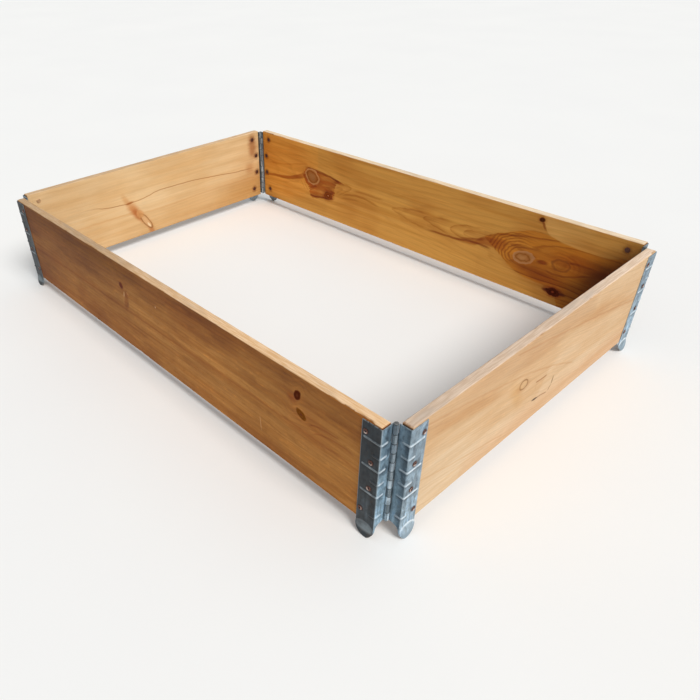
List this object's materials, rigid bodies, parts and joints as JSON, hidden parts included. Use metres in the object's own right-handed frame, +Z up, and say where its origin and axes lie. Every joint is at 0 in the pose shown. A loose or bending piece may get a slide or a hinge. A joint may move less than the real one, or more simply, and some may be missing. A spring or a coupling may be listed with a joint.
{
  "type": "wooden pallet collar",
  "caption": "Folding pallet collar: a rectangular frame of solid softwood planks joined at the corners by riveted, galvanised steel hinges with locating tabs below.",
  "frame": {"origin": "middle of the collar in plan, level with the tips of the locating tabs it stands on", "axes": "+X along the long planks, +Y along the short planks towards the rear, +Z up"},
  "size_m": [1.213, 0.813, 0.223],
  "materials": {
    "front_plank": "sawn and planed pine, aged, open grain",
    "rear_plank": "planed pine, honey brown with dark knots",
    "left_plank": "planed pine, pale yellow",
    "right_plank": "planed pine, pale tan",
    "hinge_steel": "hot-dip galvanised, mottled, dulled by use",
    "pin_steel": "bright drawn wire, worn",
    "rivet_steel": "oxidised brown, bright where worn"
  },
  "bodies": {
    "front_side": {"front_long_board": "front_plank", "front_right_long_leaf": "hinge_steel", "front_left_long_leaf": "hinge_steel", "front_right_long_rivets": "rivet_steel", "front_left_long_rivets": "rivet_steel", "front_right_pin": "pin_steel", "front_left_pin": "pin_steel"},
    "left_side": {"left_short_board": "left_plank", "front_left_short_leaf": "hinge_steel", "rear_left_short_leaf": "hinge_steel", "front_left_short_rivets": "rivet_steel", "rear_left_short_rivets": "rivet_steel"},
    "right_side": {"right_short_board": "right_plank", "front_right_short_leaf": "hinge_steel", "rear_right_short_leaf": "hinge_steel", "front_right_short_rivets": "rivet_steel", "rear_right_short_rivets": "rivet_steel"},
    "rear_side": {"rear_long_board": "rear_plank", "rear_left_long_leaf": "hinge_steel", "rear_right_long_leaf": "hinge_steel", "rear_left_long_rivets": "rivet_steel", "rear_right_long_rivets": "rivet_steel", "rear_left_pin": "pin_steel", "rear_right_pin": "pin_steel"}
  },
  "joints": [
    {"name": "front_left_hinge", "type": "hinge", "parent": "front_side", "child": "left_side", "pos_m": [-0.577, -0.377, 0.125], "axis": [0, 0, 1], "range_deg": [-90, 90]},
    {"name": "front_right_hinge", "type": "hinge", "parent": "front_side", "child": "right_side", "pos_m": [0.577, -0.377, 0.125], "axis": [0, 0, 1], "range_deg": [-90, 90]},
    {"name": "rear_left_hinge", "type": "hinge", "parent": "left_side", "child": "rear_side", "pos_m": [-0.577, 0.377, 0.125], "axis": [0, 0, 1], "range_deg": [-90, 90]}
  ],
  "couplings": [
    {"joint": "front_right_hinge", "follows": "front_left_hinge", "ratio": 1},
    {"joint": "rear_left_hinge", "follows": "front_left_hinge", "ratio": -1}
  ]
}
